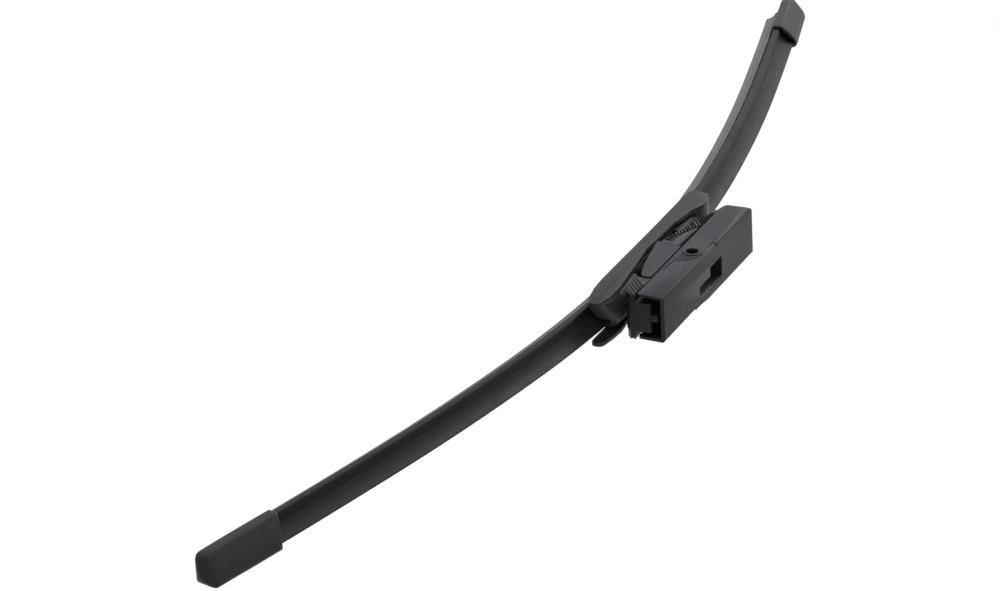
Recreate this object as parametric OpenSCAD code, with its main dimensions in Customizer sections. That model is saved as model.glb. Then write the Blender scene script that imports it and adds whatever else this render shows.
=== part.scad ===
// Flat windscreen wiper blade with its swinging arm adapter, in millimetres.
// The x axis runs along the blade towards the adapter's open end, z points away from the glass,
// and the origin lies on the middle of the pivot's axis.

/* [Blade] */
// Length of the blade along its curve, over both end caps
blade_len = 600; // [560:10:700]
// Free radius of the blade's middle zone
middle_radius = 662.5; // [500:12.5:800]
// Free radius of the zones beside it
outer_radius = 1250; // [1000:12.5:1500]
// Free radius of the two tips
tip_radius = 3500; // [2500:50:6000]

/* [Spring rails] */
// Width of one rail
rail_w = 3.1; // [2.8:0.1:3.4]
// Thickness of the rails
rail_t = 0.9; // [0.7:0.05:1]
// Free space between the two rails
rail_gap = 2.3; // [2:0.1:2.6]
// Play between a rail and what holds it
rail_slack = 0.05; // [0.03:0.01:0.08]

/* [Wiping rubber] */
// Depth of the wiping edge below the rails
rubber_drop = 7.1; // [6.4:0.1:8.4]
// Thickness of the wiping edge
lip_t = 0.7; // [0.5:0.1:1]
// Width over the tilting shoulder
shoulder_w = 5.2; // [4:0.1:6]
// Thickness of the tilting web
web_t = 1; // [0.7:0.1:1.4]
// Width of the head above the rails
head_w = 4; // [3.6:0.1:4.4]
// Distance from the blade's end to the end of the wiping edge
lip_setback = 18; // [8:1:24]

/* [Spoiler] */
// Width of the spoiler over its claws
spoiler_w = 9.7; // [9.5:0.1:10.1]
// Height of the spoiler's tip above the rails' lower face
spoiler_h = 7.9; // [7:0.1:8]
// Offset of the tip towards the rear side
spoiler_lean = 3.8; // [3:0.1:4.1]
// Height of the ledge in front of the flank
ledge_h = 2.1; // [2:0.05:2.4]
// Thickness of the claw lips under the rails
claw_t = 0.67; // [0.5:0.01:0.8]
// Distance of each spoiler's inner end from the middle
spoiler_start = 24; // [23:0.5:30]

/* [End caps] */
// Length of an end cap
cap_len = 43; // [38:1:50]
// Wall of an end cap beside the spoiler
cap_wall = 1.2; // [1:0.1:1.5]
// Length over which a cap grips the bare rails
cap_grip = 27; // [20:1:30]
// Radius of the rounded corners of a cap
cap_round = 5; // [3:0.5:6]

/* [Bracket cover] */
// Reach of the skirts towards the open end
cover_near = 60.6; // [57:0.1:66]
// Reach of the skirts towards the other end
cover_far = 56; // [52:1:60]
// Width over the skirts
cover_w = 20; // [19:0.5:21]
// Wall of the skirts
skirt_t = 1.7; // [1.4:0.1:2]
// Depth of the skirts below the rails
skirt_drop = 1.2; // [0.8:0.1:2]
// Wall of the dome over the spoilers
dome_t = 1.2; // [1:0.1:1.4]

/* [Rail saddle] */
// Length of the saddle
saddle_len = 40; // [36:1:44]
// Sheet thickness of the saddle
sheet_t = 1; // [0.8:0.1:1.2]
// Radius of the ears round the pivot
ear_r = 3.9; // [3.6:0.1:4]

/* [Pivot] */
// Place of the pivot along the blade
pivot_x = 2; // [1:0.5:3]
// Height of the pivot above the rails' lower face
pivot_z = 23.6; // [23.4:0.1:23.8]
// Diameter of the tubular pin
pin_d = 5.3; // [5:0.1:5.6]
// Bore of the tubular pin
pin_bore = 3.6; // [3:0.1:4]
// Radial play of everything that turns on a pin or bar
running_gap = 0.05; // [0.03:0.01:0.08]

/* [Adapter] */
// Width of the adapter
adapter_w = 20; // [19.6:0.1:20.4]
// Reach of the housing towards its open end
adapter_near = 47.8; // [46:0.2:50]
// Reach of the housing towards its closed end
adapter_far = 52.2; // [51:0.2:54]
// Height of the housing's roof
roof_z = 29.7; // [29.5:0.1:30.2]
// Height of the lower edge of the housing's sides
side_z = 17.9; // [17.7:0.1:18.1]
// Wall of the housing's sides
side_t = 1.2; // [1:0.1:1.4]
// Wall of the housing's roof
roof_t = 1.5; // [1.3:0.1:1.6]
// Swell of the rear side beside the roof window
swell = 1.6; // [0.5:0.1:2.4]
// Gap between neighbouring adapter pieces
part_gap = 0.6; // [0.4:0.1:0.7]

/* [Arm latch] */
// Width of the latch block that the arm slides over
block_w = 12.6; // [11:0.1:13]
// Height of the free slot between latch block and roof
slot_h = 4.3; // [4.2:0.1:4.6]
// Width of the guide rib on the latch block
guide_w = 2.8; // [2:0.1:3]
// Radius of the bars that the two levers hinge on
hinge_r = 1.5; // [1.2:0.1:1.7]

/* [Grip ribs] */
// Height of the grip ribs
rib_h = 0.4; // [0.2:0.05:0.5]
// Distance from rib to rib
rib_pitch = 2.3; // [1.8:0.1:3]
// Width of a rib
rib_w = 0.85; // [0.5:0.05:1.1]

/* [Hidden] */
$fn = 64;
// Fineness of the long blade arcs
ARC = 720;
// A cut reaches this far past the faces it opens
OVER = 1;
// Angle of one arc step, in degrees: the middle zone takes two on each side and the next zone one.
// Its sine and cosine are short decimals, so steps meet exactly end to end.
STEP = asin(0.07584);

half_len = blade_len / 2;
middle_end = 2 * STEP * PI / 180 * middle_radius;
outer_end = middle_end + STEP * PI / 180 * outer_radius;
rail_out = rail_gap / 2 + rail_w;
head_top = rail_t + rail_slack + 0.5;
claw_in = rail_out - 0.95;
claw_low = -rail_slack - claw_t;
cap_low = claw_low - 0.7;
cap_half = spoiler_w / 2 + cap_wall + 0.1;
cap_top = spoiler_h + cap_wall + 0.5;

cover_half = cover_w / 2;
dome_half = spoiler_w / 2 + 0.85 + dome_t;
dome_in = dome_half - dome_t;
dome_top = spoiler_h + dome_t + 0.1;
ear_out = dome_in - 0.3;

adapter_half = adapter_w / 2;
core_half = adapter_half - side_t - 0.1;
ceiling = roof_z - roof_t;
block_top = ceiling - slot_h;
// Bottom line of the adapter: its lowest corner and how it climbs to both ends
keel_x = -3.5;
keel_z = 5.7;
near_climb = tan(9.4);
far_climb = tan(15.2);
panel_end = 30;
core_near = 14;
latch_hinge = [16.5, 15];
lever_hinge = [-38.2, 20.4];
grip_half = adapter_half - rib_h;

// Lengths of the three zones up to the distance s along the blade
function zones(s) = [min(s, middle_end), max(0, min(s, outer_end) - middle_end), max(0, s - outer_end)];
// Angle, in degrees, by which the blade has turned at the distance s along it
function turn(s) = zones(s) * [1 / middle_radius, 1 / outer_radius, 1 / tip_radius] * 180 / PI;
// Place along x and z of the point at the distance s along the rails' lower face
function blade_x(s) = middle_radius * sin(turn(min(s, middle_end)))
    + outer_radius * (sin(turn(min(max(s, middle_end), outer_end))) - sin(2 * STEP))
    + tip_radius * (sin(turn(max(s, outer_end))) - sin(3 * STEP));
function blade_z(s) = middle_radius * (cos(turn(min(s, middle_end))) - 1)
    + outer_radius * (cos(turn(min(max(s, middle_end), outer_end))) - cos(2 * STEP))
    + tip_radius * (cos(turn(max(s, outer_end))) - cos(3 * STEP));

// Points strictly between p and q on a shallow curve that sags to the right of the way from p to q
function bow(p, q, sag, n) = [for (i = [1:n - 1]) let (t = i / n)
    p + (q - p) * t + 4 * sag * t * (1 - t) * [q[1] - p[1], p[0] - q[0]] / norm(q - p)];
// Points on an arc about c, from angle a0 to angle a1
function arc(c, r, a0, a1, n = 8) = [for (i = [0:n]) let (a = a0 + (a1 - a0) * i / n)
    c + r * [cos(a), sin(a)]];
// The half outline and its mirror image across the y = 0 line of a section
function both_halves(pts) = concat(pts, [for (i = [len(pts) - 1:-1:0]) [-pts[i][0], pts[i][1]]]);

// Every piece is drawn with z measured from the rails' lower face at the middle of the blade,
// and then moved so that the pivot's axis passes through the origin
module from_pivot() {
    translate([-pivot_x, 0, -pivot_z])
        children();
}

// Moves a piece drawn at the origin to the distance s along the blade, square to its curve
module at_blade(s) {
    side = s < 0 ? -1 : 1;
    translate([side * blade_x(abs(s)), 0, blade_z(abs(s))])
        rotate([0, side * turn(abs(s)), 0])
            children();
}

// Extrudes an outline drawn in x and z across the blade, from y0 to y1
module across(y0, y1) {
    translate([0, y1, 0])
        rotate([90, 0, 0])
            linear_extrude(y1 - y0)
                children();
}

// Extrudes a section drawn in y and z along x, from x0 to x1
module along(x0, x1) {
    translate([x0, 0, 0])
        rotate([90, 0, 90])
            linear_extrude(x1 - x0)
                children();
}

// Revolves a section about a centre below the origin, along the given length
module arc_run(radius, length) {
    translate([0, 0, -radius])
        rotate([-90, 0, 0])
            rotate([0, 0, -90])
                rotate_extrude(angle = length / radius * 180 / PI, $fn = ARC)
                    translate([radius, 0])
                        mirror([1, -1])
                            children();
}

// Runs a section along one arc step, cut off square where the next step begins
module arc_step(radius) {
    reach = cap_half * 4;
    intersection() {
        arc_run(radius, radius * STEP * PI / 180 + OVER)
            children();
        next_step(radius)
            translate([-radius / 2, -reach, -reach])
                cube([radius / 2, 2 * reach, 2 * reach]);
    }
}

// Moves a piece from the start to the end of an arc step
module next_step(radius) {
    translate([radius * sin(STEP), 0, -radius * (1 - cos(STEP))])
        rotate([0, STEP, 0])
            children();
}

// Runs a section along one half of the blade, from the middle to the distance s
module half_run(s) {
    arc_step(middle_radius)
        children();
    next_step(middle_radius) {
        arc_step(middle_radius)
            children();
        next_step(middle_radius) {
            arc_step(outer_radius)
                children();
            next_step(outer_radius)
                arc_run(tip_radius, s - outer_end)
                    children();
        }
    }
}

// Runs a section along the whole blade, up to the distance s on both sides of the middle
module full_run(s) {
    half_run(s)
        children();
    mirror([1, 0, 0])
        half_run(s)
            children();
}

// Slot that takes both rails and the rubber's head with the play p, open downwards to z = low
function rail_slot(low, p) = both_halves([[claw_in, low], [claw_in, -p], [rail_out + p, -p],
    [rail_out + p, rail_t + p], [head_w / 2 + p, rail_t + p], [head_w / 2 + p, head_top + p]]);

module rubber_section() {
    flange_low = -0.85;
    shoulder = -2.3;
    polygon(both_halves([[head_w / 2, head_top], [head_w / 2, rail_t + rail_slack],
        [rail_gap / 2 - rail_slack, rail_t + rail_slack], [rail_gap / 2 - rail_slack, -rail_slack],
        [claw_in - 0.3, -rail_slack], [claw_in - 0.3, flange_low], [web_t / 2, flange_low - 0.1],
        [web_t / 2, shoulder + 0.2], [shoulder_w / 2, shoulder], [shoulder_w / 2, shoulder - 0.6],
        [shoulder_w / 4, shoulder - 1.7], [lip_t / 2 + 0.2, shoulder - 2.8],
        [lip_t / 2, -rubber_drop]]));
}

module spoiler_section() {
    half = spoiler_w / 2;
    tip_r = 0.4;
    tip = [spoiler_lean, spoiler_h - tip_r];
    crease = [-1, ledge_h + 0.45];
    flank_top = tip + tip_r * [cos(135), sin(135)];
    back_top = tip + tip_r * [1, 0];
    back_low = [half, ledge_h - 0.5];
    polygon(concat([[-claw_in, claw_low], [0.25 - half, claw_low], [-half, claw_low + 0.25],
        [-half, ledge_h - 0.5], [0.5 - half, ledge_h], crease],
        bow(crease, flank_top, 0.55, 8), arc(tip, tip_r, 135, 0, 4), bow(back_top, back_low, 0.25, 6),
        [back_low, [half, claw_low + 0.25], [half - 0.25, claw_low]],
        rail_slot(claw_low, rail_slack)));
}

module wiping_rubber() {
    from_pivot()
        color([0.36, 0.36, 0.37])
            difference() {
                full_run(half_len - 5)
                    rubber_section();
                for (side = [0, 1])
                    mirror([side, 0, 0])
                        at_tip()
                            across(-shoulder_w, shoulder_w)
                                polygon([[-lip_setback - 2, -rubber_drop - OVER],
                                    [3 - lip_setback, -1.2],
                                    [OVER, -1.2], [OVER, -rubber_drop - OVER]]);
            }
}

// One rail on the side y > 0, with a notch near each end for the cap's tooth
module rail() {
    difference() {
        full_run(half_len - 6)
            translate([rail_gap / 2, 0])
                square([rail_w, rail_t]);
        for (side = [0, 1])
            mirror([side, 0, 0])
                at_tip()
                    translate([-cap_grip / 2 - 1.6, rail_out - 0.9, -OVER])
                        cube([3.2, 0.9 + OVER, rail_t + 2 * OVER]);
    }
}

module front_rail() {
    from_pivot()
        color([0.5, 0.51, 0.53])
            mirror([0, 1, 0])
                rail();
}

module rear_rail() {
    from_pivot()
        color([0.5, 0.51, 0.53])
            rail();
}

module spoiler() {
    difference() {
        half_run(half_len - cap_grip - 1)
            spoiler_section();
        translate([-OVER, -spoiler_w, -spoiler_w])
            cube([spoiler_start + OVER, 2 * spoiler_w, 2 * spoiler_w]);
    }
}

module inboard_spoiler() {
    from_pivot()
        color([0.2, 0.2, 0.2])
            spoiler();
}

module outboard_spoiler() {
    from_pivot()
        color([0.2, 0.2, 0.2])
            mirror([1, 0, 0])
                spoiler();
}

// Moves a piece drawn like the end cap, from x = -cap_len to x = 0, to the blade's end
module at_tip() {
    at_blade(half_len - cap_len / 2)
        translate([cap_len / 2, 0, 0])
            children();
}

// End cap drawn from x = -cap_len to x = 0, with z measured square to the rails
module end_cap() {
    r = cap_round;
    front_low = cap_wall + 1.6;
    flank = atan2(cap_top - front_low - 0.6, spoiler_lean - 0.5 + cap_half);
    flank_out = (cap_half - 0.3) * sin(flank) + (front_low + 0.6) * cos(flank);
    slant = 4;
    difference() {
        intersection() {
            across(-cap_half, cap_half)
                polygon(concat([[0.6 - cap_len, cap_low], [-cap_len, cap_low + 0.6],
                    [-cap_len, front_low + 0.6],
                    [slant - cap_len, cap_top - 1.1], [slant + 1.6 - cap_len, cap_top]],
                    arc([-r, cap_top - r], r, 90, 0, 6), arc([-r, cap_low + r], r, 0, -90, 6)));
            along(-cap_len, 0)
                polygon(concat([[0.6 - cap_half, cap_low], [-cap_half, cap_low + 0.6],
                    [-cap_half, front_low],
                    [0.3 - cap_half, front_low + 0.6]],
                    bow([0.3 - cap_half, front_low + 0.6], [spoiler_lean - 0.5, cap_top], -0.35, 6),
                    arc([spoiler_lean + 0.6, cap_top - 1.5], 1.5, 120, 10, 6),
                    [[cap_half, cap_low + 0.6], [cap_half - 0.6, cap_low]]));
            translate([0, 0, cap_low - OVER])
                linear_extrude(cap_top - cap_low + 2 * OVER)
                    polygon(concat([[-cap_len, -cap_half], [-cap_len, cap_half]],
                        arc([-r, cap_half - r], r, 90, 0, 6), arc([-r, r - cap_half], r, 0, -90, 6)));
            rotate([flank, 0, 0])
                across(-2 * cap_top, 2 * cap_top)
                    polygon(concat([[-cap_len, -2 * cap_top], [-cap_len, flank_out + 0.4]],
                        arc([-r, flank_out + 0.4 - r], r, 90, 0, 6), [[0, -2 * cap_top]]));
        }
        along(-cap_len - OVER, -cap_grip)
            polygon([[0.25 - cap_half + cap_wall, cap_low - OVER],
                [cap_wall - cap_half, front_low - 0.3],
                [spoiler_lean - 1.2, spoiler_h + 0.35], [spoiler_lean + 0.6, spoiler_h + 0.35],
                [cap_half - cap_wall, front_low], [cap_half - cap_wall, cap_low - OVER]]);
        along(-cap_grip - OVER, -3)
            polygon(rail_slot(cap_low - OVER, rail_slack + 0.1));
    }
    for (side = [-1, 1])
        translate([-cap_grip / 2 - 1.3, side * (rail_out - 0.2) - 0.35, -rail_slack * 2])
            cube([2.6, 0.7, rail_t + 4 * rail_slack]);
}

module inboard_end_cap() {
    from_pivot()
        color([0.22, 0.22, 0.21])
            at_tip()
                end_cap();
}

module outboard_end_cap() {
    from_pivot()
        color([0.22, 0.22, 0.21])
            mirror([1, 0, 0])
                at_tip()
                    end_cap();
}

// Upright ear of the saddle, with the bore for the pin
module ear() {
    difference() {
        union() {
            polygon([[pivot_x - 5, rail_t + 1], [pivot_x + 5, rail_t + 1], [pivot_x + ear_r, pivot_z],
                [pivot_x - ear_r, pivot_z]]);
            translate([pivot_x, pivot_z])
                circle(ear_r);
        }
        translate([pivot_x, pivot_z])
            circle(d = pin_d + 0.02);
    }
}

module rail_saddle() {
    plate_low = head_top + 0.15;
    leg = ear_out - sheet_t;
    from_pivot()
        color([0.42, 0.43, 0.45]) {
            translate([-saddle_len / 2, -ear_out, plate_low])
                cube([saddle_len, 2 * ear_out, sheet_t]);
            for (side = [0, 1])
                mirror([0, side, 0]) {
                    across(ear_out - sheet_t, ear_out)
                        ear();
                    for (end = [-1, 1])
                        at_blade(end * (saddle_len / 2 - 7))
                            along(-5, 5)
                                polygon([[head_w / 2 + 0.4, plate_low + 0.4],
                                    [head_w / 2 + 0.4, rail_t + rail_slack], [leg, rail_t + rail_slack],
                                    [leg, -rail_slack], [claw_in + 0.2, -rail_slack],
                                    [claw_in + 0.2, -rail_slack - sheet_t], [ear_out, -rail_slack - sheet_t],
                                    [ear_out, plate_low + 0.4]]);
                }
        }
}

module pivot_pin() {
    from_pivot()
        color([0.13, 0.13, 0.14])
            translate([pivot_x, 0, pivot_z])
                rotate([90, 0, 0])
                    difference() {
                        union() {
                            cylinder(h = 2 * (adapter_half - 1.3), d = pin_d, center = true);
                            cylinder(h = 2 * (ear_out - sheet_t), d = pin_d + 1.3, center = true);
                        }
                        cylinder(h = 2 * adapter_half + OVER, d = pin_bore, center = true);
                    }
}

// Side outline of a skirt: rounded at the near end, with the nose at the far end, and with the given
// lower edge and upper corner beneath the latch
module skirt_outline(low_edge, corner) {
    polygon(concat([[1.5 - cover_far, -skirt_drop], [-42, -0.3 - skirt_drop], [-12, -skirt_drop]], low_edge,
        arc(corner, 3, -50, 60, 7), [[corner[0] - 4.5, corner[1] + 3.7], [43, 9], [pivot_x + 3, 4.6],
        [pivot_x - 9, 5], [-23, 5.2], [-31, 6.7]], nose_top, [[-cover_far, 0.8]]));
}

// Upper line of the nose, from its near face to the far end
nose_top = [[-37, 7.2], [-40.5, 8.6], [-44, 9.9], [-47, 10.2], [4.2 - cover_far, 9.1], [0.5 - cover_far, 6.8]];

// Upper half of the cover's dome over a spoiler, in y and z, with its corners rounded; front is its front side
module dome_section(front, r) {
    polygon(concat([[front, 2.4]], arc([front + r, dome_top - r], r, 180, 90, 8),
        arc([dome_half - 3.6, dome_top - 3.6], 3.6, 90, 0, 8), [[dome_half, 2.4]]));
}

// Keeps what lies before a slanted near face at the distance d, rounded at its top
module slanted_end(d, top, r) {
    rotate([0, 0, 42])
        across(-3 * cover_w, 3 * cover_w)
            polygon(concat([[-2 * cover_near, -cover_w], [-2 * cover_near, top]], arc([d - r, top - r], r, 90, 0),
                [[d, -cover_w]]));
}

// Room under the dome, between x0 and x1
module dome_room(x0, x1) {
    along(x0, x1)
        polygon(both_halves(concat([[dome_in, -skirt_drop - OVER]],
            arc([dome_in - 2, dome_top - dome_t - 2], 2, 0, 90, 6))));
}

// Mouth that follows the spoiler, lowered by the drop of the bent blade there
module dome_mouth(x0, x1, drop) {
    along(x0, x1)
        polygon([[-dome_in, -skirt_drop - OVER], [-dome_in, ledge_h + 0.9 - drop], [-0.4, ledge_h + 1.6 - drop],
            [spoiler_lean - 1.6, spoiler_h + 0.7 - drop], [dome_in - 0.6, spoiler_h + 0.7 - drop],
            [dome_in, spoiler_h - 1 - drop], [dome_in, -skirt_drop - OVER]]);
}

module bracket_cover() {
    mid = spoiler_start - 1.5;
    slant = 39.2;
    color([0.3, 0.3, 0.32])
        from_pivot()
            difference() {
                union() {
                    across(-cover_half, skirt_t - cover_half)
                        skirt_outline([[38, -skirt_drop], [47, -0.6], [cover_near - 4, 1]], [cover_near - 3, 5]);
                    across(cover_half - skirt_t, cover_half)
                        skirt_outline([[29, -skirt_drop], [33, -0.4], [36, 1.4], [39, 2.1], [cover_near - 5, 2.1]],
                            [cover_near - 4.6, 4.6]);
                    along(6 - cover_far, cover_near - 16)
                        translate([-cover_half + skirt_t / 2, 2.6])
                            square([cover_w - skirt_t, 1.3]);
                    along(-mid, mid)
                        translate([-dome_half, 2.4])
                            square([2 * dome_half, 2.6]);
                    along(6 - cover_far, -mid)
                        dome_section(-dome_half, 3.6);
                    intersection() {
                        along(mid, cover_near)
                            dome_section(-dome_half, 3.6);
                        slanted_end(slant, dome_top, 6);
                    }
                    intersection() {
                        along(43, cover_near)
                            dome_section(-cover_half + 0.4, 2.6);
                        slanted_end(slant, dome_top, 6);
                        across(-cover_half, 0)
                            polygon(concat([[43, 2.4], [43, dome_top]],
                                arc([cover_near - 6.4, dome_top - 6], 6, 90, 0), [[cover_near - 0.4, 2.4]]));
                    }
                    across(skirt_t - cover_half - OVER / 2, cover_half - skirt_t + OVER / 2)
                        polygon(concat([[1.2 - cover_far, 2.8], [-37, 2.8]],
                            [for (p = nose_top) p - [0, 0.25]]));
                }
                dome_room(7.4 - cover_far, dome_t - mid);
                along(-mid, mid)
                    translate([-dome_in, -skirt_drop - OVER])
                        square([2 * dome_in, skirt_drop + OVER + 3.8]);
                intersection() {
                    dome_room(mid - dome_t, cover_near);
                    slanted_end(slant - 1.6, dome_top + OVER, 1);
                }
                dome_mouth(-cover_far - OVER, 9 - cover_far, 1.6);
                dome_mouth(cover_near - 18, cover_near + OVER, 1.9);
                for (side = [-1, 1])
                    translate([pivot_x - 5.4, side * (ear_out - sheet_t / 2) - sheet_t / 2 - 0.3, 3])
                        cube([10.8, sheet_t + 0.6, dome_top]);
            }
}

// Line of the adapter's keel at the place x, on its near and its far side
function keel_near(x) = keel_z + (x - keel_x) * near_climb;
function keel_far(x) = keel_z + 1.1 + (keel_x - x) * far_climb;

// Smooth side panel of the core, flush with the housing's sides
module panel_outline() {
    top = side_z - part_gap - 0.3;
    polygon([[keel_x, keel_z + 0.2], [keel_x + 0.3, keel_z], [18, keel_near(18)],
        [panel_end - 2, keel_near(panel_end) + 0.8],
        [panel_end - 0.6, keel_near(panel_end) + 1.6], [panel_end, keel_near(panel_end) + 3],
        [panel_end, top - 1], [panel_end - 1, top], [keel_x + 1.5, top]]);
}

module adapter_core() {
    near_low = latch_hinge[1] - hinge_r - 0.8;
    body_low = side_z + 0.4;
    lever_in = grip_half - 2.6;
    from_pivot()
        color([0.29, 0.29, 0.33])
            difference() {
                union() {
                    across(-core_half, core_half)
                        polygon([[core_near, ceiling - 0.2], [-45, ceiling - 0.2], [-45, 22.2],
                            [-41.4, 22.2],
                            [-41.4, 19.6], [-35, 19.6], [-34, 24], [-9, 19.4], [-8.7, body_low],
                            [-2, body_low],
                            [-2, 14.5], [core_near, 14.5]]);
                    across(-lever_in, lever_in)
                        polygon([[-8.7, body_low + 1], [-7.8, 14.5], [0, 14.5], [0, body_low + 1]]);
                    for (side = [-1, 1]) {
                        across(side * (adapter_half - 1.3) - 1.3, side * (adapter_half - 1.3) + 1.3)
                            panel_outline();
                        across(side * (adapter_half - 2.2) - 0.4, side * (adapter_half - 2.2) + 0.4)
                            polygon([[-2, 11], [-2, side_z], [20, side_z], [20, 12.5], [pivot_x, 9]]);
                    }
                    across(-core_half, core_half)
                        polygon([[core_near - 1, near_low], [core_near - 1, 22], [18.6, 22],
                            [18.6, 17.6],
                            [20, 16.8], [20, near_low]]);
                }
                across(-ear_out - 0.4, ear_out + 0.4)
                    polygon([[pivot_x - ear_r - 0.5, ceiling], [pivot_x + ear_r + 0.5, ceiling],
                        [pivot_x + ear_r + 0.5, pivot_z - 4], [pivot_x + 8, 6], [pivot_x - 10, 6],
                        [pivot_x - ear_r - 1.5, pivot_z - 4]]);
                translate([-14.4, -2, 22])
                    cube([12.4, 8.6, roof_z - 22]);
                across(-adapter_half - OVER, adapter_half + OVER)
                    translate([pivot_x, pivot_z])
                        circle(d = pin_d + 2 * running_gap);
                across(-core_half - OVER, core_half + OVER)
                    translate(lever_hinge)
                        circle(hinge_r + running_gap);
                across(-core_half - OVER, core_half + OVER)
                    translate([lever_hinge[0] - hinge_r * 0.8, 17])
                        square([hinge_r * 1.6, lever_hinge[1] - 17]);
                across(-core_half + 1.2, core_half - 1.2)
                    translate(latch_hinge)
                        circle(hinge_r + running_gap);
                across(-core_half + 1.2, core_half - 1.2)
                    translate([latch_hinge[0], latch_hinge[1] - hinge_r * 0.83])
                        square([12, hinge_r * 1.66]);
            }
}

// Side outline of the housing
module housing_outline() {
    polygon(concat([[adapter_near - 1.9, side_z], [adapter_near - 1.3, side_z + 0.8],
        [adapter_near - 0.7, roof_z - 1],
        [adapter_near - 1.2, roof_z]],
        arc([2.5 - adapter_far, roof_z - 3], 3, 90, 175, 7),
        [[-0.3 - adapter_far, side_z + 4]], arc([0.4 - adapter_far, side_z + 3.7], 0.7, 180, 250, 3),
        [[-46.3, side_z + 0.9], [-41.2, side_z - 0.4], [-36, side_z - 0.1]]));
}

// Block of the housing up to the rear side y = rear and the near end x = near, both top edges rounded
module housing_block(rear, near) {
    edge_r = 1.2;
    swollen = adapter_half + swell;
    intersection() {
        across(-adapter_half, rear)
            housing_outline();
        along(-adapter_far - OVER, near)
            polygon(concat([[-adapter_half, side_z - OVER]],
                arc([edge_r - adapter_half, roof_z - edge_r], edge_r, 180, 90, 5),
                arc([rear - edge_r, roof_z - edge_r], edge_r, 90, 0, 5), [[rear, side_z - OVER]]));
        translate([0, 0, side_z - OVER])
            linear_extrude(roof_z - side_z + 2 * OVER)
                polygon(concat([[adapter_near, -adapter_half], [adapter_near, adapter_half],
                    [14, adapter_half]],
                    bow([14, adapter_half], [-2, swollen], -0.5, 5), [[-2, swollen],
                    [-9, swollen - 0.1],
                    [-13, swollen - 0.5]], arc([2.4 - adapter_far, swollen - 3.5], 3, 90, 180, 6), [[-adapter_far - 0.4, 3]],
                    arc([7 - adapter_far, 7 - adapter_half], 7, 180, 270, 8)));
    }
}

module adapter_housing() {
    ring_r = 3.9;
    trace = [[22, side_z + 0.8], [12.6, side_z + 1.5], [10.4, pivot_z + 0.6],
    [pivot_x + 5.2, pivot_z + 3.2],
        [pivot_x + 1, pivot_z + 4.9]];
    color([0.3, 0.3, 0.34])
        from_pivot()
            difference() {
                union() {
                    housing_block(adapter_half, adapter_near + OVER);
                    housing_block(adapter_half + swell, 14);
                    across(-adapter_half - 0.4, 1.5 - adapter_half)
                        translate([pivot_x, pivot_z])
                            circle(ring_r);
                }
                across(-adapter_half + side_t, adapter_half - side_t)
                    polygon([[adapter_near + OVER, side_z - OVER], [adapter_near + OVER, ceiling],
                        [-46, ceiling],
                        [-47.5, side_z + 3.8], [-42, side_z + 3.8], [-42, side_z - OVER]]);
                across(-adapter_half - OVER, adapter_half + swell + OVER)
                    translate([pivot_x, pivot_z])
                        circle(d = pin_d + 2 * running_gap);
                translate([-14.4, -2, ceiling - OVER])
                    cube([12.4, 8.6, roof_t + 2 * OVER]);
                translate([-4, 1.8, ceiling - OVER])
                    cube([13.4, 4.2, roof_t + 2 * OVER]);
                across(-adapter_half - OVER, 0.45 - adapter_half)
                    polygon(concat(trace, [for (i = [len(trace) - 1:-1:0]) trace[i] + [0.1, 0.55]]));
                translate([-8.9, -adapter_half - OVER, roof_z - 1.4])
                    cube([0.6, OVER + 1.3, 1.4 + OVER]);
                translate([-8.9, -adapter_half - OVER, roof_z - 1.9])
                    cube([4.2, OVER + 0.6, 0.5]);
            }
}

// Slanted grip ribs inside an outline, standing proud of the plane y = -grip_half
module grip_ribs(x0, x1, slant) {
    intersection() {
        across(-adapter_half, 0.3 - grip_half)
            children();
        for (x = [x0:rib_pitch:x1])
            translate([x, -adapter_half, side_z - 6])
                rotate([0, slant, 0])
                    translate([-rib_w / 2, 0, -9])
                        cube([rib_w, rib_h + 0.3, 18]);
    }
}

module latch_grip_outline() {
    polygon([[panel_end + part_gap, keel_near(panel_end) + 0.2], [42, 11.9], [adapter_near - 2.4, 13],
        [adapter_near - 0.4, 15], [adapter_near - 0.4, side_z - 0.9],
        [panel_end - 2.6, side_z - 1.3 + part_gap],
        [panel_end + part_gap, side_z - 1.3]]);
}

module arm_latch() {
    block_low = keel_near(panel_end) + 1.4;
    from_pivot()
        color([0.24, 0.24, 0.26]) {
            difference() {
                union() {
                    across(-block_w / 2, block_w / 2)
                        polygon([[22, block_low], [22, block_top], [adapter_near - 0.4, block_top],
                            [adapter_near - 0.4, 14.6], [adapter_near - 2.4, block_low]]);
                    across(-block_w / 2, block_w / 2)
                        polygon([[latch_hinge[0], latch_hinge[1] - 0.8], [latch_hinge[0],
                            latch_hinge[1] + 0.8],
                            [24, latch_hinge[1] + 0.8], [24, latch_hinge[1] - 0.8]]);
                }
                along(24, adapter_near - 6)
                    translate([-block_w / 2 + 1.5, block_low - OVER])
                        square([block_w - 3, 4]);
            }
            across(1.4 - core_half, core_half - 1.4)
                translate(latch_hinge)
                    circle(hinge_r);
            across(-guide_w / 2, guide_w / 2)
                polygon([[24, block_top - OVER], [28, block_top + 2.7],
                    [adapter_near - 1.2, block_top + 2.7],
                    [adapter_near - 0.6, block_top - OVER]]);
            across(-grip_half, grip_half)
                intersection() {
                    latch_grip_outline();
                    translate([panel_end + part_gap, 0])
                        square([60, 60]);
                }
            for (side = [0, 1])
                mirror([0, side, 0])
                    grip_ribs(panel_end + 2, adapter_near + 2, 50)
                        latch_grip_outline();
        }
}

// Upper edge of the lever's cheeks, which leaves a slit under the housing that closes towards the tip
lever_edge = [[keel_x + 0.3, side_z - 2.2], [-20, side_z - 1.5], [-34, side_z - 0.8], [-41.3, side_z - 0.8]];

module lever_cheek() {
    polygon(concat([[keel_x - 0.8, keel_far(keel_x - 0.8)]], lever_edge, [[-41.6, side_z - 1.2],
        [-40.4, keel_far(-40.4)]]));
}

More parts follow.
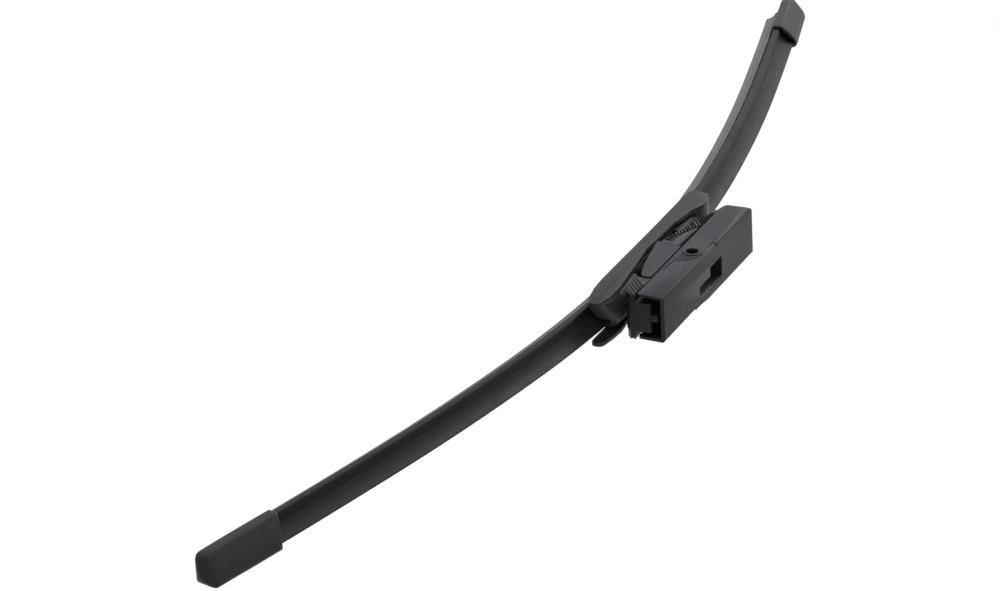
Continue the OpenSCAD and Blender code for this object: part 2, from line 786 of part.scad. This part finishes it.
module release_lever() {
    web_top = side_z - 1.2;
    from_pivot()
        color([0.3, 0.3, 0.33]) {
            for (side = [-1, 1])
                across(side * (grip_half - 1.1) - 1.1, side * (grip_half - 1.1) + 1.1)
                    lever_cheek();
            across(1.6 - grip_half, grip_half - 1.6)
                polygon([[-9, 11.2], [-9, 12.8], [-30, web_top], [-39.6, web_top], [-39.6, web_top - 0.5],
                    [-34, web_top - 0.9]]);
            across(0.4 - core_half, core_half - 0.4)
                translate(lever_hinge)
                    circle(hinge_r);
            across(0.4 - core_half, core_half - 0.4)
                polygon([[lever_hinge[0] - 0.8, lever_hinge[1]], [lever_hinge[0] + 0.8, lever_hinge[1]],
                    [lever_hinge[0] + 0.8, web_top - 0.2], [lever_hinge[0] - 0.8, web_top - 0.2]]);
            for (side = [0, 1])
                mirror([0, side, 0])
                    grip_ribs(-48, keel_x, 50)
                        polygon([[-6, keel_far(-6)], [-6, keel_far(-6) + 1.3], [-21, side_z - 3], [-23, side_z - 1.4],
                            [-34, side_z - 0.8], [-40, side_z - 0.9], [-40.4, keel_far(-40.4)]]);
        }
}

wiping_rubber();
front_rail();
rear_rail();
inboard_spoiler();
outboard_spoiler();
inboard_end_cap();
outboard_end_cap();
rail_saddle();
bracket_cover();
pivot_pin();
adapter_core();
adapter_housing();
arm_latch();
release_lever();
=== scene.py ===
"""Looks, light and camera for the flat wiper blade.

Metres, z away from the glass, x towards the open adapter end.
"""

import math

import bpy
from bpy.props import FloatProperty, FloatVectorProperty, IntProperty, PointerProperty
from mathutils import Matrix, Vector


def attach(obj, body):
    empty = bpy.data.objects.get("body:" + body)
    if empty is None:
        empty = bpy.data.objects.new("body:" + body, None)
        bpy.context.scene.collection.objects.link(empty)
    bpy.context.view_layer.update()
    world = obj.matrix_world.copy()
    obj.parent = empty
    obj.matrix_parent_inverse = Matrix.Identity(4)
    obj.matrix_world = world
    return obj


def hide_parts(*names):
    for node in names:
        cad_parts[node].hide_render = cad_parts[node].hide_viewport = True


bl_info = {
    "name": "Flat wiper blade looks",
    "version": (1, 0, 0),
    "blender": (4, 5, 0),
    "location": "3D View > Sidebar > Wiper Blade",
    "description": "Materials, fine mould detail, light and camera for the flat wiper blade",
    "category": "Object",
}

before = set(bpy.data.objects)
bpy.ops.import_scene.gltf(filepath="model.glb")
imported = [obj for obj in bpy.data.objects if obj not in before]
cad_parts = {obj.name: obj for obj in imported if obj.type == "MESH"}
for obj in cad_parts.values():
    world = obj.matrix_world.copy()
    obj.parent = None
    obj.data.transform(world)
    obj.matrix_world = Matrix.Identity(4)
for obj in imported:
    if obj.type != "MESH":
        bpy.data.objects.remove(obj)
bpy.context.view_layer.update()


# ---------------------------------------------------------------- shader maths
class Socket:
    """A shader value or colour that Python expressions can be written with."""

    def __init__(self, look, link):
        self.look = look
        self.link = link

    def _math(self, operation, *values):
        return self.look.node("ShaderNodeMath", {"operation": operation}, dict(enumerate(values)))

    def __add__(self, other):
        return self._math("ADD", self, other)

    __radd__ = __add__

    def __sub__(self, other):
        return self._math("SUBTRACT", self, other)

    def __rsub__(self, other):
        return self._math("SUBTRACT", other, self)

    def __mul__(self, other):
        return self._math("MULTIPLY", self, other)

    __rmul__ = __mul__

    def clamp(self):
        return self._math("MINIMUM", self._math("MAXIMUM", self, 0.0), 1.0)


class Look:
    """One material's node tree, built from expressions."""

    def __init__(self, name, preview):
        self.material = bpy.data.materials.new(name)
        self.material.use_nodes = True
        self.material.diffuse_color = (*preview, 1)
        self.tree = self.material.node_tree
        self.tree.nodes.clear()

    def node(self, kind, settings=None, values=None, output=0):
        made = self.tree.nodes.new(kind)
        for name, value in (settings or {}).items():
            if name == "stops":
                ramp = made.color_ramp
                while len(ramp.elements) < len(value):
                    ramp.elements.new(0.5)
                for element, (place, level) in zip(ramp.elements, value):
                    element.position = place
                    element.color = (level, level, level, 1)
            else:
                setattr(made, name, value)
        for key, value in (values or {}).items():
            socket = made.inputs[key]
            if isinstance(value, Socket):
                self.tree.links.new(value.link, socket)
            else:
                socket.default_value = value
        return Socket(self, made.outputs[output])

    def place(self):
        return self.node("ShaderNodeTexCoord", output="Object")

    def stretched(self, scale, turn=0.0):
        return self.node("ShaderNodeMapping", None,
                         {"Vector": self.place(), "Rotation": (0, turn, 0), "Scale": scale})

    def noise(self, scale, detail=3.0, roughness=0.5, vector=None):
        return self.node("ShaderNodeTexNoise", None,
                         {"Vector": vector or self.place(), "Scale": scale, "Detail": detail,
                          "Roughness": roughness})

    def ramp(self, value, *stops):
        return self.node("ShaderNodeValToRGB", {"stops": stops}, {"Fac": value})

    def mix(self, factor, a, b):
        return self.node("ShaderNodeMix", {"data_type": "RGBA"}, {"Factor": factor, 6: a, 7: b}, output=2)

    def bump(self, height, strength, distance, normal=None):
        values = {"Height": height, "Strength": strength, "Distance": distance}
        if normal:
            values["Normal"] = normal
        return self.node("ShaderNodeBump", None, values)

    def finish(self, color, roughness, normal=None, metallic=0.0, specular=0.22):
        values = {"Base Color": color, "Roughness": roughness, "Metallic": metallic,
                  "Specular IOR Level": specular}
        if normal:
            values["Normal"] = normal
        shader = self.node("ShaderNodeBsdfPrincipled", None, values)
        out = self.tree.nodes.new("ShaderNodeOutputMaterial")
        self.tree.links.new(shader.link, out.inputs["Surface"])
        return self.material


def rgb(color, factor=1.0):
    return (*[channel * factor for channel in color], 1)


def moulded_plastic(name, color, roughness, grain, wear):
    """Spark-eroded moulding: fine grain, faint flow streaks, dust and rubbed patches."""
    look = Look(name, color)
    cloud = look.noise(38, 4)
    streak = look.noise(60, 3, vector=look.stretched((0.25, 1.4, 1.4)))
    fine = look.noise(4200, 2, 0.6)
    pores = look.noise(1500, 2, 0.5)
    dust = look.ramp(look.noise(210, 5, 0.62), (0.48, 0), (0.78, 1))
    tone = look.mix(cloud, rgb(color, 0.86), rgb(color, 1.14))
    tone = look.mix(dust * 0.3 * wear, tone, rgb((0.32, 0.31, 0.30)))
    tone = look.mix(look.ramp(streak, (0.42, 0), (0.7, 1)) * 0.28, tone, rgb(color, 1.35))
    rough = (cloud - 0.5) * 0.14 + (dust * 0.12 * wear) + roughness + (streak - 0.5) * 0.1
    normal = look.bump(fine, grain, 0.00005)
    normal = look.bump(pores, grain * 0.7, 0.00008, normal)
    return look.finish(tone, rough.clamp(), normal)


def extruded_rubber(name, color, roughness, dust_level, painted_shade_and_light=0.0, specular=0.22):
    """Extruded rubber: drawn lines along the blade and settled dust, with painted shade on the
    upward-facing ledge of the groove and painted light on the faces turned to the front.
    """
    look = Look(name, color)
    cloud = look.noise(22, 4)
    drawn = look.noise(900, 2, 0.5, vector=look.stretched((0.02, 1, 1)))
    grain = look.noise(5200, 2, 0.6)
    dust = look.ramp(look.noise(120, 6, 0.65), (0.46, 0), (0.8, 1))
    tone = look.mix(cloud, rgb(color, 0.85), rgb(color, 1.15))
    tone = look.mix(dust * dust_level, tone, rgb((0.30, 0.295, 0.29)))
    if painted_shade_and_light:
        facing = look.node("ShaderNodeTexCoord", output="Normal")
        upward = look.node("ShaderNodeSeparateXYZ", None, {"Vector": facing}, output=2)
        sideways = look.node("ShaderNodeSeparateXYZ", None, {"Vector": facing}, output=1)
        # painted light: faces turned to the front (-y) are lightened to 1.7 times the rubber's colour
        tone = look.mix(look.ramp(sideways * -1, (0.93, 0), (0.98, 1)), tone, rgb(color, 1.7))
        # painted shade: upward-facing faces, the ledge in the groove, are darkened to 0.2 times the
        # rubber's colour
        tone = look.mix(look.ramp(upward, (0.88, 0), (0.94, 1)) * painted_shade_and_light, tone, rgb(color, 0.2))
    rough = (cloud - 0.5) * 0.12 + dust * 0.16 + roughness
    normal = look.bump(drawn, 0.25, 0.00004)
    normal = look.bump(grain, 0.22, 0.00003, normal)
    return look.finish(tone, rough.clamp(), normal, specular=specular)


def sheet_steel(name, color, roughness, metallic=1.0):
    """Strip and sheet steel: rolled lines, small scratches and a stained film."""
    look = Look(name, color)
    rolled = look.noise(1400, 2, 0.6, vector=look.stretched((0.01, 1, 1)))
    stain = look.noise(70, 5, 0.6)
    tone = look.mix(stain, rgb(color, 0.8), rgb(color, 1.15))
    rough = (rolled - 0.5) * 0.25 + (stain - 0.5) * 0.2 + roughness
    normal = look.bump(rolled, 0.25, 0.00003)
    return look.finish(tone, rough.clamp(), normal, metallic=metallic)


# ---------------------------------------------------------------- settings
def colour(name, description, default):
    return FloatVectorProperty(name=name, description=description, default=default,
                               subtype="COLOR", min=0, max=1)


class BladeFinish(bpy.types.PropertyGroup):
    wiping: colour("Wiping rubber", "Dusted grey of the wiping rubber", (0.31, 0.305, 0.295))
    spoiler: colour("Spoiler", "Black of the spoiler rubber", (0.031, 0.0305, 0.0305))
    cap: colour("End caps", "Black of the end caps", (0.036, 0.0355, 0.034))
    steel: colour("Spring rails", "Bare spring steel", (0.36, 0.37, 0.39))


class AdapterFinish(bpy.types.PropertyGroup):
    bracket: colour("Bracket", "Dark grey of the bracket cover", (0.065, 0.061, 0.0725))
    housing: colour("Housing", "Dark grey of the adapter housing", (0.052, 0.0450, 0.0575))
    core: colour("Core", "Dark grey of the adapter core", (0.066, 0.060, 0.0745))
    latch: colour("Latch", "Black of the arm latch", (0.030, 0.030, 0.034))
    pin: colour("Pin", "Black coating of pin and saddle", (0.020, 0.020, 0.022))


def length(name, description, default):
    return FloatProperty(name=name, description=description, default=default, min=0, max=0.005,
                         precision=5, subtype="DISTANCE", unit="LENGTH")


class MouldedForm(bpy.types.PropertyGroup):
    cover_edge: length("Cover edges", "Edge radius of the bracket cover", 0.00035)
    housing_edge: length("Housing edges", "Edge radius of the adapter housing", 0.00045)
    latch_edge: length("Latch edges", "Edge radius of the arm latch", 0.00025)
    lever_edge: length("Lever edges", "Edge radius of the release lever", 0.0002)
    cap_grain: length("Cap net", "Mesh width of the rounded end caps", 0.0004)
    tip_lift: length("Tip lift", "Rise of a cap's lower edge at its closed end", 0.0014)
    tip_taper: FloatProperty(name="Tip taper", description="Share by which a cap's front half draws in",
                             default=0.33, min=0, max=0.8, subtype="FACTOR")
    cap_rounds: IntProperty(name="Cap rounding", description="Smoothing rounds of the caps' closed ends",
                            default=24, min=0, max=60)


KEY_PLACE = (-1.5, -1.1, 0.35)
SIDE_PLACE = (-0.2, -1.6, -0.5)
FLOOR_GLOW = 1.07
FLOOR_GLOW_SHARE = 0.93
CAMERA_PLACE = Matrix(((-0.42039, -0.40409, 0.81239, 1.390877),
                       (0.05299, -0.90476, -0.42261, -0.700524),
                       (0.90579, -0.13461, 0.40177, 0.598882),
                       (0, 0, 0, 1)))


class StudioSettings(bpy.types.PropertyGroup):
    focal_length: FloatProperty(name="Focal length", description="Camera focal length in millimetres",
                                default=145.815, min=50, max=300)
    key_power: FloatProperty(name="Key light", description="Power of the light past the far end",
                             default=15.0, min=0, max=400, subtype="POWER")
    side_power: FloatProperty(name="Side light", description="Power of the low light in front",
                              default=4.0, min=0, max=400, subtype="POWER")
    fill_level: FloatProperty(name="Fill", description="Brightness of the surroundings", default=0.14,
                              min=0, max=2)
    floor_height: FloatProperty(name="Floor height",
                                description="Height of the floor, measured from the pivot",
                                default=-0.6, min=-2, max=-0.1, subtype="DISTANCE", unit="LENGTH")


def settings():
    return bpy.context.scene.wiper_blade_finish, bpy.context.scene.wiper_adapter_finish


def dress(material, *nodes):
    """Gives a finish to the named solids of the frame."""
    for name in nodes:
        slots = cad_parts[name].data.materials
        slots.clear()
        slots.append(material)


def shown_copy(name):
    """A merged copy of a solid, with its place in the mesh, made active in object mode."""
    bpy.ops.object.select_all(action="DESELECT")
    copy = bpy.data.objects.new(name + "_moulded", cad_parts[name].data.copy())
    bpy.context.scene.collection.objects.link(copy)
    copy.select_set(True)
    bpy.context.view_layer.objects.active = copy
    bpy.ops.object.mode_set(mode="EDIT")
    bpy.ops.mesh.select_all(action="SELECT")
    bpy.ops.mesh.remove_doubles(threshold=0.000004)
    bpy.ops.mesh.dissolve_limited(angle_limit=math.radians(0.3))
    bpy.ops.object.mode_set(mode="OBJECT")
    return copy


def stand_in(copy, name, body, angle):
    """Smooths the copy, lets it ride on the body and stand for the solid."""
    bpy.ops.object.shade_smooth_by_angle(angle=math.radians(angle))
    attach(copy, body)
    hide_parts(name)


def soften(name, body, width, reshape=None):
    """Shows a copy of a solid with the edge radius that a mould leaves."""
    copy = shown_copy(name)
    if reshape:
        reshape(copy)
    bevel = copy.modifiers.new("edge", "BEVEL")
    bevel.width = width
    bevel.segments = 2
    bevel.limit_method = "ANGLE"
    bevel.angle_limit = math.radians(34)
    bpy.ops.object.modifier_apply(modifier=bevel.name)
    stand_in(copy, name, body, 30)


def pull_round(place, radius, first, second):
    """Moves a point in the corner of two walls onto a round.

    A wall is its axis, its place and the way inwards.
    """
    offsets = [1 - (place[axis] - wall) * inward / radius for axis, wall, inward in (first, second)]
    reach = math.hypot(*offsets)
    if min(offsets) > 0 and reach > 1:
        for (axis, wall, inward), offset in zip((first, second), offsets):
            place[axis] = wall + inward * radius * (1 - offset / reach)


def round_far_end(copy):
    """Rounds the far end of the adapter housing towards its roof and its two flanks."""
    points = [vertex.co for vertex in copy.data.vertices]
    end = (0, min(point.x for point in points), 1)
    roof = (2, max(point.z for point in points if point.x < -0.044), -1)
    rear, front = (1, -0.01, 1), (1, max(point.y for point in points), -1)
    end_steps = (0.0008, 0.0016, 0.0026, 0.0038, 0.005, 0.01, 0.017, 0.024, 0.031, 0.038)
    cuts = [(0, end[1] + step) for step in end_steps]
    cuts += [(2, roof[1] - step) for step in (0.0005, 0.0012, 0.0022, 0.0036, 0.005)]
    cuts += [(1, rear[1] + step) for step in (0.0005, 0.0012, 0.0022, 0.0036)]
    cuts += [(1, front[1] - step) for step in (0.0006, 0.0014, 0.0026)]
    bpy.ops.object.mode_set(mode="EDIT")
    for axis, place in cuts:
        spot, normal = [0, 0, 0], [0, 0, 0]
        spot[axis], normal[axis] = place, 1
        bpy.ops.mesh.select_all(action="SELECT")
        bpy.ops.mesh.bisect(plane_co=spot, plane_no=normal)
    bpy.ops.object.mode_set(mode="OBJECT")
    for vertex in copy.data.vertices:
        taper = max(0.0, min(1.0, (-0.016 - vertex.co.x) / 0.026))
        if taper > 0:
            pull_round(vertex.co, 0.0036 * taper, roof, rear)
        pull_round(vertex.co, 0.005, end, roof)
        pull_round(vertex.co, 0.0036, end, rear)
        pull_round(vertex.co, 0.0026, end, front)


def round_off(name, body, form):
    """Shows a copy of an end cap whose closed end is rounded all over, the way a soft moulding is."""
    copy = shown_copy(name)
    net = copy.modifiers.new("net", "REMESH")
    net.mode = "VOXEL"
    net.voxel_size = form.cap_grain
    bpy.ops.object.modifier_apply(modifier=net.name)
    group = copy.vertex_groups.new(name="closed_end")
    for vertex in copy.data.vertices:
        share = (abs(vertex.co.x) - 0.272) / 0.012
        group.add([vertex.index], max(0.15, min(1.0, share)), "REPLACE")
    smooth = copy.modifiers.new("round", "SMOOTH")
    smooth.factor = 0.5
    smooth.iterations = form.cap_rounds
    smooth.vertex_group = group.name
    bpy.ops.object.modifier_apply(modifier=smooth.name)
    for vertex in copy.data.vertices:
        tip = max(0.0, min(1.0, (abs(vertex.co.x) - 0.285) / 0.013)) ** 2
        low = max(0.0, min(1.0, (-0.064 - vertex.co.z) / 0.0104))
        vertex.co.z += form.tip_lift * tip * low
        if vertex.co.y < 0:
            vertex.co.y *= 1 - form.tip_taper * tip
    stand_in(copy, name, body, 50)


# ---------------------------------------------------------------- operators
class WIPER_OT_blade_finish(bpy.types.Operator):
    """Gives the rubbers, rails and end caps their finishes"""

    bl_idname = "wiper.blade_finish"
    bl_label = "Blade Finishes"

    def execute(self, context):
        finish, _ = settings()
        dress(extruded_rubber("wiping_rubber_finish", finish.wiping, 0.62, 0.45), "wiping_rubber")
        # the spoiler's rubber gets painted shade in its groove at 0.8 and painted light on its front-facing
        # sides
        dress(extruded_rubber("spoiler_finish", finish.spoiler, 0.46, 0.1, 0.8, 0.12), "inboard_spoiler",
              "outboard_spoiler")
        dress(moulded_plastic("end_cap_finish", finish.cap, 0.46, 0.3, 0.5), "inboard_end_cap",
              "outboard_end_cap")
        dress(sheet_steel("spring_rail_finish", finish.steel, 0.34), "front_rail", "rear_rail")
        return {"FINISHED"}


class WIPER_OT_adapter_finish(bpy.types.Operator):
    """Gives the bracket, the adapter and its levers their finishes"""

    bl_idname = "wiper.adapter_finish"
    bl_label = "Adapter Finishes"

    def execute(self, context):
        _, finish = settings()
        dress(moulded_plastic("bracket_finish", finish.bracket, 0.5, 0.4, 0.45), "bracket_cover")
        dress(moulded_plastic("housing_finish", finish.housing, 0.5, 0.42, 0.4), "adapter_housing")
        dress(moulded_plastic("core_finish", finish.core, 0.52, 0.4, 0.35), "adapter_core", "release_lever")
        dress(moulded_plastic("latch_finish", finish.latch, 0.42, 0.2, 0.3), "arm_latch")
        dress(sheet_steel("pin_finish", finish.pin, 0.4, 0.2), "pivot_pin", "rail_saddle")
        return {"FINISHED"}


class WIPER_OT_moulded_edges(bpy.types.Operator):
    """Shows the moulded parts with softly rounded edges and closes the slit in the hood"""

    bl_idname = "wiper.moulded_edges"
    bl_label = "Moulded Edges"

    def execute(self, context):
        form = context.scene.wiper_moulded_form
        soften("bracket_cover", "blade", form.cover_edge)
        soften("adapter_housing", "adapter", form.housing_edge, round_far_end)
        soften("arm_latch", "latch", form.latch_edge)
        soften("release_lever", "lever", form.lever_edge)
        self.hood_web()
        round_off("inboard_end_cap", "blade", form)
        round_off("outboard_end_cap", "blade", form)
        return {"FINISHED"}

    def hood_web(self):
        """A thin web just inside the hood's sloping end, which closes the slit between its two walls."""
        slope = Vector((0.52, 0.47, 0.715)).normalized()
        length = Vector((-0.67, 0.742, 0)).normalized()
        turn = Matrix((length, slope.cross(length), slope)).transposed()
        bpy.ops.object.select_all(action="DESELECT")
        bpy.ops.mesh.primitive_cube_add(size=1, location=Vector((0.0483, 0.0002, -0.0161)) - slope * 0.0005,
                                        rotation=turn.to_euler(), scale=(0.0125, 0.0022, 0.0005))
        bpy.ops.object.transform_apply(location=True, rotation=True, scale=True)
        web = bpy.context.active_object
        web.name = "hood_web"
        web.data.materials.append(bpy.data.materials["bracket_finish"])
        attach(web, "blade")


def area_light(name, power, size, place, target=(0, 0, 0)):
    """A soft rectangular light that looks at the target."""
    data = bpy.data.lights.new(name, "AREA")
    data.energy = power
    data.shape = "RECTANGLE"
    data.size, data.size_y = size
    lamp = bpy.data.objects.new(name, data)
    bpy.context.scene.collection.objects.link(lamp)
    eye, spot = Matrix.Translation(place).translation, Matrix.Translation(target).translation
    lamp.location = eye
    lamp.rotation_euler = (spot - eye).to_track_quat("-Z", "Y").to_euler()
    return lamp


def seen_as_white(tree):
    """Value that is 1 for the rays of the camera, of reflections and of clear materials."""
    path = tree.nodes.new("ShaderNodeLightPath")
    first = tree.nodes.new("ShaderNodeMath")
    first.operation = "MAXIMUM"
    tree.links.new(path.outputs["Is Camera Ray"], first.inputs[0])
    tree.links.new(path.outputs["Is Glossy Ray"], first.inputs[1])
    both = tree.nodes.new("ShaderNodeMath")
    both.operation = "MAXIMUM"
    tree.links.new(first.outputs[0], both.inputs[0])
    tree.links.new(path.outputs["Is Transmission Ray"], both.inputs[1])
    return both.outputs[0]


class WIPER_OT_studio(bpy.types.Operator):
    """Builds the camera, the soft lights, the floor and the white surroundings"""

    bl_idname = "wiper.studio"
    bl_label = "Studio"

    def execute(self, context):
        stage = context.scene.wiper_studio
        data = bpy.data.cameras.new("photo_camera")
        data.sensor_width = 36
        data.lens = stage.focal_length
        data.clip_start, data.clip_end = 0.05, 20
        camera = bpy.data.objects.new("photo_camera", data)
        context.scene.collection.objects.link(camera)
        camera.matrix_world = CAMERA_PLACE
        context.scene.camera = camera

        area_light("key_light", stage.key_power, (0.8, 0.8), KEY_PLACE)
        area_light("side_light", stage.side_power, (1.2, 1.2), SIDE_PLACE)

        self.white_world(context, stage.fill_level)
        self.floor(stage.floor_height)
        context.scene.view_settings.view_transform = "Standard"
        return {"FINISHED"}

    def white_world(self, context, fill):
        """Soft surroundings that the camera and mirroring surfaces see as plain white."""
        world = bpy.data.worlds.new("white_surroundings")
        world.use_nodes = True
        tree = world.node_tree
        tree.nodes.clear()
        level = tree.nodes.new("ShaderNodeMapRange")
        level.inputs["To Min"].default_value = fill
        level.inputs["To Max"].default_value = 1.0
        tree.links.new(seen_as_white(tree), level.inputs["Value"])
        ground = tree.nodes.new("ShaderNodeBackground")
        ground.inputs["Color"].default_value = (1, 1, 1, 1)
        tree.links.new(level.outputs["Result"], ground.inputs["Strength"])
        out = tree.nodes.new("ShaderNodeOutputWorld")
        tree.links.new(ground.outputs[0], out.inputs["Surface"])
        context.scene.world = world

    def floor(self, height):
        """Plain pale floor well below the blade, white to the eye but with room for its soft shadow."""
        bpy.ops.object.select_all(action="DESELECT")
        bpy.ops.mesh.primitive_plane_add(size=14, location=(0, 0, 0))
        bpy.ops.transform.translate(value=(0, 0, height))
        bpy.ops.object.transform_apply(location=True, rotation=False, scale=False)
        floor = bpy.context.active_object
        floor.name = "studio_floor"
        material = bpy.data.materials.new("pale_floor")
        material.use_nodes = True
        tree = material.node_tree
        tree.nodes.clear()
        share = tree.nodes.new("ShaderNodeMath")
        share.operation = "MULTIPLY"
        share.inputs[1].default_value = FLOOR_GLOW_SHARE
        tree.links.new(seen_as_white(tree), share.inputs[0])
        paint = tree.nodes.new("ShaderNodeBsdfDiffuse")
        paint.inputs["Color"].default_value = (0.8, 0.8, 0.8, 1)
        glow = tree.nodes.new("ShaderNodeEmission")
        glow.inputs["Strength"].default_value = FLOOR_GLOW
        blend = tree.nodes.new("ShaderNodeMixShader")
        tree.links.new(share.outputs[0], blend.inputs[0])
        tree.links.new(paint.outputs[0], blend.inputs[1])
        tree.links.new(glow.outputs[0], blend.inputs[2])
        out = tree.nodes.new("ShaderNodeOutputMaterial")
        tree.links.new(blend.outputs[0], out.inputs["Surface"])
        floor.data.materials.append(material)


class WIPER_PT_panel(bpy.types.Panel):
    """Lists the finishes and the studio of the wiper blade"""

    bl_label = "Wiper Blade"
    bl_idname = "WIPER_PT_panel"
    bl_space_type = "VIEW_3D"
    bl_region_type = "UI"
    bl_category = "Wiper Blade"

    def draw(self, context):
        layout = self.layout
        for operator in OPERATORS:
            layout.operator(operator.bl_idname)
        for group in GROUPS:
            for field in group[1].__annotations__:
                layout.prop(getattr(context.scene, group[0]), field)


OPERATORS = (WIPER_OT_blade_finish, WIPER_OT_adapter_finish, WIPER_OT_moulded_edges, WIPER_OT_studio)
GROUPS = (("wiper_blade_finish", BladeFinish), ("wiper_adapter_finish", AdapterFinish),
          ("wiper_moulded_form", MouldedForm), ("wiper_studio", StudioSettings))
CLASSES = tuple(group for _, group in GROUPS) + OPERATORS + (WIPER_PT_panel,)


def register():
    for cls in CLASSES:
        bpy.utils.register_class(cls)
    for name, group in GROUPS:
        setattr(bpy.types.Scene, name, PointerProperty(type=group))


def unregister():
    for name, _ in GROUPS:
        delattr(bpy.types.Scene, name)
    for cls in reversed(CLASSES):
        bpy.utils.unregister_class(cls)


def main():
    register()
    bpy.ops.wiper.blade_finish()
    bpy.ops.wiper.adapter_finish()
    bpy.ops.wiper.moulded_edges()
    bpy.ops.wiper.studio()


if __name__ == "__main__":
    main()
